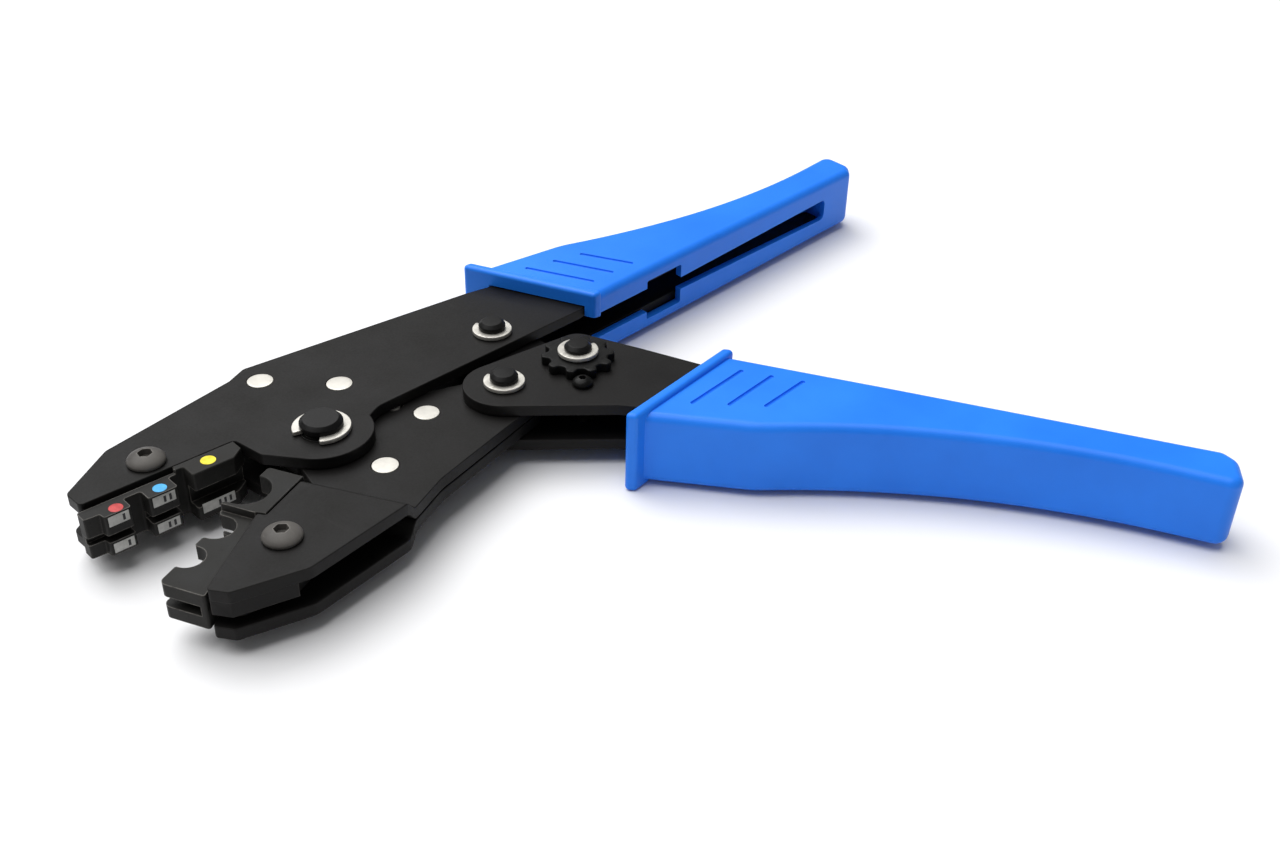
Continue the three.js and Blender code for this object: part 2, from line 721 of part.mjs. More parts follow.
function springParts() {
  const pawlTail = [PAWL_PIVOT[0] + 4.8, PAWL_PIVOT[1] - 4.4];
  const returnEnds = [towards(SPRING_FRAME, SPRING_JAW, 3.0), towards(SPRING_JAW, SPRING_FRAME, 5.2)];
  const pawlEnds = [towards(PAWL_POST, pawlTail, 2.6), towards(pawlTail, PAWL_POST, 2.0)];
  const returnSpring = coilSpring(...returnEnds, 0, 1.9, 0.4, 9);
  const pawlSpring = coilSpring(...pawlEnds, 0, 1.2, 0.25, 7);
  return [bright('return_spring', returnSpring), bright('pawl_spring', pawlSpring)];
}

const tool = new THREE.Group();
tool.name = 'crimping_tool';
tool.add(
  ...frameParts(),
  ...jawParts(),
  ...handleParts(),
  blacked('toggle_link', toggleLink()),
  mesh('ratchet_pawl', ratchetPawl(), COLOURS.screw, 0.7, 0.45),
  ...springParts(),
);
tool.position.z = MID_Z;

const root = new THREE.Group();
root.name = 'tool';
root.add(tool);
export default root;
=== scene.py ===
"""Looks of the ratchet crimping tool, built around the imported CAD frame.

Shapes are made in millimetres from the tool's mid-plane and moved into the frame in metres at the end.
"""

import math

import bmesh
import bpy
from mathutils import Matrix, Vector


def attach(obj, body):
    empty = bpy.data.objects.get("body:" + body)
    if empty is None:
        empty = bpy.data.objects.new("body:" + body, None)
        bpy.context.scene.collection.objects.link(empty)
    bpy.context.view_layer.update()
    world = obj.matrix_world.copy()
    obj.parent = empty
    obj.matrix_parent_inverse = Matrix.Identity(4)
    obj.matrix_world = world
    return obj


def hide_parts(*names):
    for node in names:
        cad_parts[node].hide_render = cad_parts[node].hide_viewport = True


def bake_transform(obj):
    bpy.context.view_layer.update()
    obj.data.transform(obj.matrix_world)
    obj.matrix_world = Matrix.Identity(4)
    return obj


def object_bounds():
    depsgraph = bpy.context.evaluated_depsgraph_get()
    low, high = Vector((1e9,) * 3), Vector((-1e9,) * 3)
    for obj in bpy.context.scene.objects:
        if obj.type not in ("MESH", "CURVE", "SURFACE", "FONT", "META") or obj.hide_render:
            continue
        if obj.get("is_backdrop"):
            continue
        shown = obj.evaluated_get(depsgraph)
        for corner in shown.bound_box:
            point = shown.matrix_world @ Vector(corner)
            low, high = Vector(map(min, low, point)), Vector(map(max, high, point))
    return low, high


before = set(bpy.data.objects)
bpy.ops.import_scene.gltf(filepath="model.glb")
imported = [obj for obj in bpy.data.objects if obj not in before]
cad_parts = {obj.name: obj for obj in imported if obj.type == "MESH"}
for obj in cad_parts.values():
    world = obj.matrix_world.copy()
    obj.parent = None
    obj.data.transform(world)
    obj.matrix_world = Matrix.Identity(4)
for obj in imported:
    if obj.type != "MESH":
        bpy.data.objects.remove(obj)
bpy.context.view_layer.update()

MM = 0.001
MID_Z = 9.35
TO_FRAME = Matrix.Scale(MM, 4) @ Matrix.Translation((0, 0, MID_Z))

# Levels over the mid-plane
PLATE_IN = 3.0
PLATE_OUT = 5.5
CORE = 2.8
CORE_GAP = 0.15
PIN_TOP = 8.4
PIN_CHAMFER = 0.8

# Pivot axes with the tool open
MAIN = (0.0, 0.0)
LINK = (50.7, 0.0)
HANDLE = (35.9, -16.7)
TOGGLE = (53.2, -23.0)
WHEEL = (52.8, -23.0)
LINK_EYE = (49.5, -0.6)

JAW_LINE = 170.8
JAW_OPEN = 170.8 + 25.13
FRAME_RIVETS = [(4.6, 23.9), (14.3, 10.3)]
JAW_RIVETS = [(20.5, -8.8), (1.7, -15.8)]
LOCK_SCREW = (46.1, -29.7)
PAWL_PIVOT = (61.6, -37.9)
PAWL_POST = (66.0, -53.0)
SPRING_FRAME = (33.5, 14.5)
SPRING_JAW = (18.0, -1.6)
FIXED_SCREW = (31.2, -12.8)
MOVING_SCREW = (33.1, 12.2)
DIE_Z = 4.5
MOVING_DIE_Z = 3.8
LUG_FACE = -3.0
NESTS = [(23.0, -2.2, 4.6), (33.2, -1.8, 3.4), (42.4, -1.5, 3.1)]
NOSE_WALL = [(50.1, 8.2), (49.4, 12.0), (40.0, 19.5), (38.8, 18.2), (47.9, 11.0), (48.5, 7.9)]

# Radii
MAIN_PIN_R = 4.4
PIN_R = 3.0
PLAY = 0.08
CLIP_T = 0.9
CLIP_LOW = PLATE_OUT + 0.15
WHEEL_LOW = PLATE_OUT + 0.15
WHEEL_HIGH = PLATE_OUT + 2.15
WHEEL_CLIP_LOW = 7.85
RIVET_R = 2.7
SCREW_R = 2.0
SCREW_HEAD_R = 3.8
NUT_R = 4.04
PIN_HEAD_R = 4.6
PIN_HEAD_LOW = -PLATE_OUT - 2.1
CLIP_R = 4.4
ECCENTRIC_R = 3.6
ECCENTRIC_TOP = 10.2
LINK_EYE_R = 4.7
LOCK_SCREW_R = 1.25
ANCHOR_R = 1.5
JAW_ANCHOR_R = 1.3
PAWL_POST_R = 1.0
FRAME_COLLAR_R = 4.6
TANG_COLLAR_R = 4.2

# Grips
GRIP_LENGTH = 121.0
GRIP_HALF = 8.3
GRIP_END_SCALE = 0.95
GRIP_TAPER_FROM = 50.0
FLANGE_HALF = 9.35
FIXED_GRIP = (64.1, 20.1, -13.5, -1)
MOVING_GRIP = (39.5, -45.9, -62.94, 1)


# ---------------------------------------------------------------- outlines


def circle(centre, r, count=64):
    step = 2 * math.pi / count
    return [(centre[0] + r * math.cos(i * step), centre[1] + r * math.sin(i * step)) for i in range(count)]


def arc(centre, r, start, end, step=5.0):
    count = max(1, math.ceil(abs(end - start) / step))
    angles = [math.radians(start + (end - start) * i / count) for i in range(count + 1)]
    return [(centre[0] + r * math.cos(a), centre[1] + r * math.sin(a)) for a in angles]


def rounded(corners, closed=True, step=math.radians(9)):
    """Points of an outline from corners (x, y) or (x, y, radius)."""
    points = []
    for i, corner in enumerate(corners):
        here = Vector(corner[:2])
        r = corner[2] if len(corner) > 2 else 0
        if not r or (not closed and i in (0, len(corners) - 1)):
            points.append(tuple(here))
            continue
        before = (Vector(corners[i - 1][:2]) - here).normalized()
        after = (Vector(corners[(i + 1) % len(corners)][:2]) - here).normalized()
        half = math.acos(max(-1, min(1, before.dot(after)))) / 2
        centre = here + (before + after).normalized() * (r / math.sin(half))
        start = here + before * (r / math.tan(half)) - centre
        end = here + after * (r / math.tan(half)) - centre
        sweep = math.atan2(start.x * end.y - start.y * end.x, start.dot(end))
        count = max(1, math.ceil(abs(sweep) / step))
        first = math.atan2(start.y, start.x)
        for k in range(count + 1):
            a = first + sweep * k / count
            points.append((centre.x + r * math.cos(a), centre.y + r * math.sin(a)))
    return points


def turned(points, degrees):
    c, s = math.cos(math.radians(degrees)), math.sin(math.radians(degrees))
    return [(c * p[0] - s * p[1], s * p[0] + c * p[1], *p[2:]) for p in points]


def grip_points(grip, points):
    gx, gy, turn, side = grip
    c, s = math.cos(math.radians(turn)), math.sin(math.radians(turn))
    return [(gx + c * p[0] - s * side * p[1], gy + s * p[0] + c * side * p[1], *p[2:]) for p in points]


# ---------------------------------------------------------------- solids


def to_object(name, bm):
    bmesh.ops.remove_doubles(bm, verts=bm.verts, dist=0.0008)
    bmesh.ops.dissolve_degenerate(bm, edges=bm.edges, dist=0.0004)
    bmesh.ops.recalc_face_normals(bm, faces=bm.faces)
    mesh = bpy.data.meshes.new(name)
    bm.to_mesh(mesh)
    bm.free()
    made = bpy.data.objects.new(name, mesh)
    bpy.context.scene.collection.objects.link(made)
    return made


def slab(name, points, low, high, edge, holes=(), segments=3):
    """Flat plate with rounded edges all round, its holes included."""
    curve = bpy.data.curves.new(name, "CURVE")
    curve.dimensions = "2D"
    curve.fill_mode = "BOTH"
    curve.extrude = (high - low) / 2 - edge
    curve.bevel_depth = edge
    curve.bevel_resolution = segments - 1
    curve.offset = -edge
    for loop in [points, *holes]:
        spline = curve.splines.new("POLY")
        spline.points.add(len(loop) - 1)
        for point, place in zip(spline.points, loop):
            point.co = (place[0], place[1], 0, 1)
        spline.use_cyclic_u = True
    holder = bpy.data.objects.new(name + "_curve", curve)
    bpy.context.scene.collection.objects.link(holder)
    bpy.context.view_layer.update()
    evaluated = holder.evaluated_get(bpy.context.evaluated_depsgraph_get())
    mesh = bpy.data.meshes.new_from_object(evaluated)
    bm = bmesh.new()
    bm.from_mesh(mesh)
    bmesh.ops.translate(bm, verts=bm.verts, vec=(0, 0, (low + high) / 2))
    bpy.data.objects.remove(holder)
    bpy.data.curves.remove(curve)
    bpy.data.meshes.remove(mesh)
    return to_object(name, bm)


def prism(name, points, low, high):
    """Flat cutter with sharp edges."""
    bm = bmesh.new()
    rings = [[bm.verts.new((x, y, z)) for x, y in points] for z in (low, high)]
    for ring in rings:
        bm.faces.new(ring)
    for i in range(len(points)):
        j = (i + 1) % len(points)
        bm.faces.new((rings[0][i], rings[0][j], rings[1][j], rings[1][i]))
    return to_object(name, bm)


def lathe(name, centre, profile, count=72):
    """Solid of revolution about an upright axis, from (radius, level) pairs."""
    bm = bmesh.new()
    rings = []
    for r, z in profile:
        if r < 1e-6:
            rings.append([bm.verts.new((centre[0], centre[1], z))])
        else:
            rings.append([bm.verts.new((x, y, z)) for x, y in circle(centre, r, count)])
    for a, b in zip(rings, rings[1:]):
        for i in range(count):
            j = (i + 1) % count
            loop = [a[i % len(a)], a[j % len(a)], b[j % len(b)], b[i % len(b)]]
            face = list(dict.fromkeys(loop))
            if len(face) > 2:
                bm.faces.new(face)
    return to_object(name, bm)


def box(name, low, high):
    bm = bmesh.new()
    bmesh.ops.create_cube(bm, size=1)
    size = [h - l for l, h in zip(low, high)]
    middle = [(h + l) / 2 for l, h in zip(low, high)]
    bmesh.ops.scale(bm, vec=size, verts=bm.verts)
    bmesh.ops.translate(bm, vec=middle, verts=bm.verts)
    return to_object(name, bm)


def settle(obj):
    """Applies the modifiers to the mesh."""
    bpy.context.view_layer.update()
    mesh = bpy.data.meshes.new_from_object(obj.evaluated_get(bpy.context.evaluated_depsgraph_get()))
    obj.modifiers.clear()
    obj.data = mesh
    return obj


def combine(base, operation, *tools):
    for tool in tools:
        modifier = base.modifiers.new("combine", "BOOLEAN")
        modifier.operation = operation
        modifier.solver = "EXACT"
        modifier.object = tool
        settle(base)
        bpy.data.objects.remove(tool)
    return base


def soften(obj, width, angle=40, segments=2):
    """Small rounded edge wherever two faces meet sharply."""
    modifier = obj.modifiers.new("soften", "BEVEL")
    modifier.width = width
    modifier.segments = segments
    modifier.limit_method = "ANGLE"
    modifier.angle_limit = math.radians(angle)
    modifier.use_clamp_overlap = True
    modifier.miter_outer = "MITER_ARC"
    return settle(obj)


def turn_z(obj, degrees):
    obj.data.transform(Matrix.Rotation(math.radians(degrees), 4, "Z"))
    return obj


def piece(obj, body, slot, material, *nodes, sharp=42):
    """Moves a finished shape into the frame, ties it to its body and hides its CAD nodes; the slot argument
    is not used.
    """
    obj.data.transform(TO_FRAME)
    bm = bmesh.new()
    bm.from_mesh(obj.data)
    for face in bm.faces:
        face.smooth = True
    for edge in bm.edges:
        if len(edge.link_faces) == 2:
            edge.smooth = edge.calc_face_angle(0) < math.radians(sharp)
    bm.to_mesh(obj.data)
    bm.free()
    weights = obj.modifiers.new("normals", "WEIGHTED_NORMAL")
    weights.keep_sharp = True
    weights.weight = 60
    obj.data.materials.clear()
    obj.data.materials.append(material)
    if nodes:
        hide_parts(*nodes)
    if body:
        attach(obj, body)
    return obj


# ---------------------------------------------------------------- materials


def srgb(r, g, b):
    return tuple(((c / 255 + 0.055) / 1.055) ** 2.4 if c > 10 else c / 255 / 12.92 for c in (r, g, b))


class Shader:
    """Small builder of a node material around one Principled shader."""

    def __init__(self, name, metallic=0.0, specular=0.5, **fixed):
        self.material = bpy.data.materials.new(name)
        self.material.use_nodes = True
        self.nodes = self.material.node_tree.nodes
        self.links = self.material.node_tree.links
        self.shader = self.nodes["Principled BSDF"]
        self.shader.inputs["Metallic"].default_value = metallic
        self.shader.inputs["Specular IOR Level"].default_value = specular
        for key, value in fixed.items():
            self.shader.inputs[key.replace("_", " ")].default_value = value
        self.place = self.nodes.new("ShaderNodeTexCoord").outputs["Object"]
        self.bump = None

    def link(self, source, target):
        self.links.new(source, target)

    def stretched(self, x, y, z, turn=0.0):
        node = self.nodes.new("ShaderNodeMapping")
        node.inputs["Scale"].default_value = (x, y, z)
        node.inputs["Rotation"].default_value = (0, 0, math.radians(turn))
        self.link(self.place, node.inputs["Vector"])
        return node.outputs["Vector"]

    def noise(self, scale, detail=4.0, rough=0.55, place=None):
        node = self.nodes.new("ShaderNodeTexNoise")
        node.inputs["Scale"].default_value = scale
        node.inputs["Detail"].default_value = detail
        node.inputs["Roughness"].default_value = rough
        self.link(place or self.place, node.inputs["Vector"])
        return node.outputs["Fac"]

    def span(self, value, low, high, to_low=0.0, to_high=1.0):
        node = self.nodes.new("ShaderNodeMapRange")
        for key, number in (("From Min", low), ("From Max", high), ("To Min", to_low), ("To Max", to_high)):
            node.inputs[key].default_value = number
        self.link(value, node.inputs["Value"])
        return node.outputs["Result"]

    def math(self, operation, a, b):
        node = self.nodes.new("ShaderNodeMath")
        node.operation = operation
        for socket, value in zip(node.inputs, (a, b)):
            if isinstance(value, (int, float)):
                socket.default_value = value
            else:
                self.link(value, socket)
        return node.outputs["Value"]

    def mix(self, factor, a, b):
        node = self.nodes.new("ShaderNodeMix")
        node.data_type = "RGBA"
        self.link(factor, node.inputs[0])
        for socket, value in ((node.inputs[6], a), (node.inputs[7], b)):
            if isinstance(value, tuple):
                socket.default_value = (*value, 1)
            else:
                self.link(value, socket)
        return node.outputs[2]

    def edges(self, radius_mm, low=0.01, high=0.22):
        """1 where the surface turns within a small radius, 0 on flats."""
        bevel = self.nodes.new("ShaderNodeBevel")
        bevel.samples = 6
        bevel.inputs["Radius"].default_value = radius_mm * MM
        geometry = self.nodes.new("ShaderNodeNewGeometry")
        dot = self.nodes.new("ShaderNodeVectorMath")
        dot.operation = "DOT_PRODUCT"
        self.link(bevel.outputs["Normal"], dot.inputs[0])
        self.link(geometry.outputs["Normal"], dot.inputs[1])
        return self.span(self.math("SUBTRACT", 1.0, dot.outputs["Value"]), low, high)

    def height(self, value, strength, depth_mm):
        node = self.nodes.new("ShaderNodeBump")
        node.inputs["Strength"].default_value = strength
        node.inputs["Distance"].default_value = depth_mm * MM
        self.link(value, node.inputs["Height"])
        if self.bump:
            self.link(self.bump, node.inputs["Normal"])
        self.bump = node.outputs["Normal"]

    def done(self, colour, roughness):
        self.link(colour, self.shader.inputs["Base Color"])
        self.link(roughness, self.shader.inputs["Roughness"])
        if self.bump:
            self.link(self.bump, self.shader.inputs["Normal"])
        return self.material


def blacked_steel(name, dark, light, worn, rough=(0.40, 0.58), wear=0.75):
    s = Shader(name, specular=0.14)
    cloud = s.noise(90, 5)
    grain = s.noise(2600, 3, 0.7)
    rolled = s.noise(420, 3, 0.6, s.stretched(1.0, 0.08, 1.0, 20))
    colour = s.mix(s.span(cloud, 0.3, 0.7), dark, light)
    streak = s.span(rolled, 0.62, 0.8, 0.0, 0.35)
    colour = s.mix(streak, colour, tuple(1.7 * c for c in light))
    rub = s.math("MULTIPLY", s.edges(0.35), s.span(s.noise(700, 4), 0.34, 0.62, 0.1, wear))
    colour = s.mix(rub, colour, worn)
    s.height(grain, 0.35, 0.02)
    s.height(rolled, 0.12, 0.02)
    base = s.span(cloud, 0.3, 0.7, *rough)
    return s.done(colour, s.math("ADD", base, s.span(grain, 0.3, 0.7, -0.06, 0.06)))


def bright_steel(name, tone, rough=(0.34, 0.52), metallic=0.65):
    s = Shader(name, metallic=metallic)
    cloud = s.noise(300, 4)
    lines = s.noise(900, 3, 0.6, s.stretched(1.0, 0.12, 1.0, 35))
    colour = s.mix(s.span(cloud, 0.3, 0.7), tuple(0.82 * c for c in tone), tone)
    s.height(lines, 0.12, 0.01)
    s.height(s.noise(3500, 2), 0.08, 0.01)
    return s.done(colour, s.span(lines, 0.25, 0.75, *rough))


def die_steel():
    s = Shader("die_sintered_steel", specular=0.2)
    cloud = s.noise(160, 6)
    sand = s.noise(3200, 4, 0.75)
    pits = s.noise(1100, 3, 0.6)
    colour = s.mix(s.span(cloud, 0.3, 0.72), srgb(20, 20, 19), srgb(38, 37, 35))
    colour = s.mix(s.span(pits, 0.62, 0.72, 0, 0.6), colour, srgb(13, 13, 13))
    rub = s.math("MULTIPLY", s.edges(0.4, 0.01, 0.18), s.span(s.noise(500, 5), 0.32, 0.6, 0.25, 0.95))
    colour = s.mix(rub, colour, srgb(120, 117, 112))
    s.height(sand, 0.5, 0.04)
    s.height(pits, 0.25, 0.05)
    return s.done(colour, s.span(cloud, 0.3, 0.7, 0.48, 0.68))


def grip_plastic():
    s = Shader("azure_grip_plastic", specular=0.26, IOR=1.5)
    cloud = s.noise(45, 4)
    flow = s.noise(26, 3, 0.6, s.stretched(0.35, 1.0, 1.0, -20))
    texture = s.noise(2400, 3, 0.65)
    colour = s.mix(s.span(cloud, 0.3, 0.7), (0.013, 0.190, 0.84), (0.018, 0.228, 0.95))
    colour = s.mix(s.span(flow, 0.45, 0.75, 0, 0.35), colour, (0.010, 0.158, 0.76))
    rub = s.math("MULTIPLY", s.edges(0.5), s.span(s.noise(350, 4), 0.3, 0.7, 0.05, 0.30))
    colour = s.mix(rub, colour, (0.10, 0.38, 1.0))
    s.height(texture, 0.22, 0.03)
    s.height(s.noise(500, 3), 0.08, 0.05)
    sheen = s.span(texture, 0.3, 0.7, -0.05, 0.05)
    return s.done(colour, s.math("ADD", s.span(cloud, 0.3, 0.7, 0.36, 0.44), sheen))


def paint(name, tone):
    s = Shader(name, specular=0.45)
    patch = s.noise(900, 4)
    colour = s.mix(s.span(patch, 0.35, 0.7), tone, tuple(0.72 * c for c in tone))
    s.height(s.noise(1800, 3), 0.25, 0.03)
    return s.done(colour, s.span(patch, 0.3, 0.7, 0.38, 0.6))


PLATE_TONES = (srgb(17, 16, 16), srgb(25, 24, 23), srgb(88, 84, 80))
PIN_TONES = (srgb(14, 14, 14), srgb(24, 23, 23), srgb(84, 81, 78))
WHEEL_TONES = (srgb(12, 12, 12), srgb(20, 20, 19), srgb(78, 75, 72))
SCREW_TONES = (srgb(74, 72, 70), srgb(104, 101, 97), srgb(160, 156, 150))
BLACKED = blacked_steel("black_oxide_plate", *PLATE_TONES)
PIN_BLACK = blacked_steel("black_oxide_pin", *PIN_TONES, (0.3, 0.45), 0.6)
WHEEL_BLACK = blacked_steel("black_oxide_wheel", *WHEEL_TONES, (0.34, 0.5), 0.6)
SCREW_GREY = blacked_steel("phosphated_screw", *SCREW_TONES, (0.36, 0.5), 0.7)
BRIGHT = bright_steel("bright_ground_steel", (0.62, 0.60, 0.55))
SPRING = bright_steel("drawn_spring_wire", (0.55, 0.54, 0.52), (0.25, 0.42), 1.0)
DIE = die_steel()
PLASTIC = grip_plastic()
YELLOW = paint("yellow_code_paint", srgb(250, 230, 30))
BLUE = paint("blue_code_paint", srgb(65, 175, 235))
RED = paint("red_code_paint", srgb(195, 50, 50))
# Pale tone for patches painted on the die's lug faces as the reflection of the white surroundings.
PAINTED_LUG_REFLECTION = paint("painted_lug_reflection", srgb(190, 190, 186))
INK = paint("dark_size_bar", srgb(40, 40, 42))


# ---------------------------------------------------------------- fasteners


def pin_shape(name, axis, r, head_r, head_low, clip_low, top):
    groove = r - 0.7
    return lathe(name, axis, rounded([
        (0, head_low),
        (head_r - 0.6, head_low, 0.15),
        (head_r, head_low + 0.6, 0.15),
        (head_r, -PLATE_OUT - 0.15, 0.2),
        (r, -PLATE_OUT - 0.15),
        (r, clip_low - 0.12, 0.08),
        (groove, clip_low - 0.12),
        (groove, clip_low + CLIP_T + 0.12),
        (r, clip_low + CLIP_T + 0.12, 0.08),
        (r, top - PIN_CHAMFER, 0.25),
        (r - PIN_CHAMFER, top, 0.25),
        (0, top),
    ], closed=False))


def clip_shape(name, axis, r, outer_r, low, gap):
    inner = r - 0.55
    start, end = gap + 33, gap + 327
    ends = [(0.35, outer_r, start), (0.35, outer_r, end), (0.35, inner, end), (0.35, inner, start)]
    corner = []
    for fillet, q, a in ends:
        x, y = axis[0] + q * math.cos(math.radians(a)), axis[1] + q * math.sin(math.radians(a))
        corner.append((x, y, fillet))
    outer = arc(axis, outer_r, start + 7, end - 7)
    inside = arc(axis, inner, end - 9, start + 9)
    points = rounded([corner[0], *outer, corner[1], corner[2], *inside, corner[3]])
    return slab(name, points, low, low + CLIP_T, 0.14, segments=3)


def rivet_shape(name, axis, collar_r):
    top = PLATE_OUT + 0.06
    half = [
        (0, top),
        (RIVET_R - 0.5, top - 0.01, 0.2),
        (RIVET_R, top - 0.07, 0.04),
        (RIVET_R, CORE + 0.1),
        (collar_r, CORE + 0.1, 0.1),
    ]
    mirrored = [(p[0], -p[1], *p[2:]) for p in reversed(half)]
    return lathe(name, axis, rounded(half + mirrored, closed=False))


def screw_shape(name, axis, r, head_r, head_h, seat, low):
    dome = []
    for i in range(10):
        a = math.radians(8 + 8.2 * i)
        dome.append((head_r * math.cos(a), seat + 0.25 + (head_h - 0.25) * math.sin(a)))
    body = lathe(name, axis, [
        (0, low),
        (r - 0.4, low),
        (r, low + 0.4),
        (r, seat),
        (head_r - 0.15, seat),
        *dome,
        (0, seat + head_h),
    ])
    hexagon = turned_about(circle(axis, head_r * 0.39, 6), axis, 12)
    socket = prism("socket", hexagon, seat + head_h * 0.3, seat + head_h + 2)
    return soften(combine(body, "DIFFERENCE", socket), 0.08, 35)


def turned_about(points, centre, degrees):
    moved = turned([(x - centre[0], y - centre[1]) for x, y in points], degrees)
    return [(x + centre[0], y + centre[1]) for x, y in moved]


def nut_shape(name, axis, low, high):
    bore = circle(axis, SCREW_R + PLAY, 40)
    return slab(name, circle(axis, NUT_R, 6), low, high, 0.2, [bore], 2)


def cross_pin(name, axis, r, low, high):
    profile = rounded([(0, low), (r, low, 0.15), (r, high, 0.15), (0, high)], closed=False)
    return lathe(name, axis, profile, 48)


def spring_shape(name, start, end, coil_r, wire_r, turns):
    """Helical wire between two points, without hooks."""
    a, b = Vector((*start, 0)), Vector((*end, 0))
    along = (b - a).normalized()
    side = Vector((-along.y, along.x, 0))
    up = Vector((0, 0, 1))
    steps = turns * 20
    path = []
    for i in range(steps + 1):
        t = 2 * math.pi * turns * i / steps
        path.append(a.lerp(b, i / steps) + side * (coil_r * math.cos(t)) + up * (coil_r * math.sin(t)))
    curve = bpy.data.curves.new(name, "CURVE")
    curve.dimensions = "3D"
    curve.bevel_depth = wire_r
    curve.bevel_resolution = 3
    curve.use_fill_caps = True
    spline = curve.splines.new("POLY")
    spline.points.add(len(path) - 1)
    for point, place in zip(spline.points, path):
        point.co = (*place, 1)
    holder = bpy.data.objects.new(name + "_curve", curve)
    bpy.context.scene.collection.objects.link(holder)
    bpy.context.view_layer.update()
    mesh = bpy.data.meshes.new_from_object(holder.evaluated_get(bpy.context.evaluated_depsgraph_get()))
    bm = bmesh.new()
    bm.from_mesh(mesh)
    bpy.data.objects.remove(holder)
    return to_object(name, bm)


# ---------------------------------------------------------------- plates and links

TANG = [(62, 9.7), (107.2, 6.7, 1.5), (107.2, 11.5, 1.5), (62, 18.0), (17, 25.1), (13.6, 26.3)]
FIXED_TANG_RIVET = (27, 14)
MOVING_TANG_RIVETS = [(30, 15.5), (52, 14.5)]


def blind_holes(low, *holes):
    """Holes of the posts that stand in the lower plate only."""
    return holes if low < 0 else ()


def frame_plate(name, low, high):
    tang = grip_points(FIXED_GRIP, [(-3, 3.8), *TANG])
    corners = [
        (-45.2, 15.6, 1),
        (-13.4, 10.5, 1),
        (-13.4, 2.6, 2),
        *arc(MAIN, 10.4, 207, 340),
        (13.2, -2.4, 6),
        *reversed(tang),
        (5.4, 30.4, 2),
        (0.4, 28.8, 2),
        (-31.4, 27.0, 2),
        (-44.6, 20.6, 1.5),
    ]
    holes = [
        circle(MAIN, MAIN_PIN_R + PLAY),
        circle(LINK, PIN_R + PLAY),
        *blind_holes(low, circle(SPRING_FRAME, ANCHOR_R + PLAY, 32)),
        circle(turned([FIXED_SCREW], JAW_LINE)[0], SCREW_R + PLAY, 40),
        circle(grip_points(FIXED_GRIP, [FIXED_TANG_RIVET])[0], RIVET_R + PLAY, 48),
        *[circle(axis, RIVET_R + PLAY, 48) for axis in FRAME_RIVETS],
    ]
    return slab(name, rounded(corners), low, high, 0.22, holes)


def handle_plate(name, low, high):
    tang = grip_points(MOVING_GRIP, [(-2.4, 6.8), *TANG])
    corners = [
        *arc(HANDLE, 8.8, 74, 222),
        *tang,
        (66.0, -29.8, 10),
        (62.6, -14.4, 4),
    ]
    holes = [
        circle(HANDLE, PIN_R + PLAY),
        circle(WHEEL, PIN_R + PLAY),
        circle(LOCK_SCREW, LOCK_SCREW_R + PLAY, 32),
        *blind_holes(
            low,
            circle(PAWL_PIVOT, ANCHOR_R + PLAY, 32),
            circle(PAWL_POST, PAWL_POST_R + PLAY, 32),
        ),
        *[circle(axis, RIVET_R + PLAY, 48) for axis in grip_points(MOVING_GRIP, MOVING_TANG_RIVETS)],
    ]
    return slab(name, rounded(corners), low, high, 0.22, holes)


JOGGLE_TOP = Vector((-14.5, -9.6))
JOGGLE_NORMAL = Vector((0.943, 0.331)).normalized()


def jaw_plate(name, side):
    """Cheek of the moving jaw, stepped outwards ahead of the joggle line."""
    corners = [
        *turned([(50.4, 8.0, 0.8), (49.6, 12.2, 1.2)], JAW_OPEN),
        (-31.0, -31.1, 4),
        (-7.2, -31.0, 8),
        (5.2, -27.5, 10),
        *arc(HANDLE, 7.6, -84, 63),
        *arc(MAIN, 9.0, 63, 196),
        *turned([(14.3, 6.6, 1), (17.0, 5.65), (28.3, 5.65, 0.5), (28.7, 3.8, 0.5)], JAW_OPEN),
    ]
    holes = [
        circle(MAIN, MAIN_PIN_R + PLAY),
        circle(HANDLE, PIN_R + PLAY),
        circle(turned([MOVING_SCREW], JAW_OPEN)[0], SCREW_R + PLAY, 40),
        *[circle(axis, RIVET_R + PLAY, 48) for axis in JAW_RIVETS],
    ]
    made = slab(name, rounded(corners), CORE_GAP, CORE, 0.22, holes)
    if side < 0:
        post = prism("post", circle(SPRING_JAW, 1.4, 40), -9, 9)
    else:
        aim = math.degrees(math.atan2(SPRING_FRAME[1] - SPRING_JAW[1], SPRING_FRAME[0] - SPRING_JAW[0]))
        half_round = arc((0, 0), 2.0, 90, 270, 9)
        post = prism("slot", half_round + [(8, -2.0), (8, 2.0)], -9, 9)
        post.data.transform(Matrix.Translation((*SPRING_JAW, 0)) @ Matrix.Rotation(math.radians(aim), 4, "Z"))
    combine(made, "DIFFERENCE", post)
    bm = bmesh.new()
    bm.from_mesh(made.data)
    for i in range(13):
        s = -0.6 + 3.4 * i / 12
        place = JOGGLE_TOP + JOGGLE_NORMAL * s
        geometry = list(bm.verts) + list(bm.edges) + list(bm.faces)
        bmesh.ops.bisect_plane(bm, geom=geometry, plane_co=(*place, 0), plane_no=(*JOGGLE_NORMAL, 0))
    for v in bm.verts:
        s = (v.co.xy - JOGGLE_TOP).dot(JOGGLE_NORMAL)
        t = max(0.0, min(1.0, (2.75 - s) / 3.3))
        v.co.z += (PLATE_OUT - CORE) * t * t * (3 - 2 * t)
    if side < 0:
        bmesh.ops.scale(bm, vec=(1, 1, -1), verts=bm.verts)
        bmesh.ops.reverse_faces(bm, faces=bm.faces)
    bm.to_mesh(made.data)
    bm.free()
    if side > 0:
        combine(made, "UNION", slab("wall", turned(NOSE_WALL, JAW_OPEN), -0.4, 4.2, 0.12, segments=2))
    return made


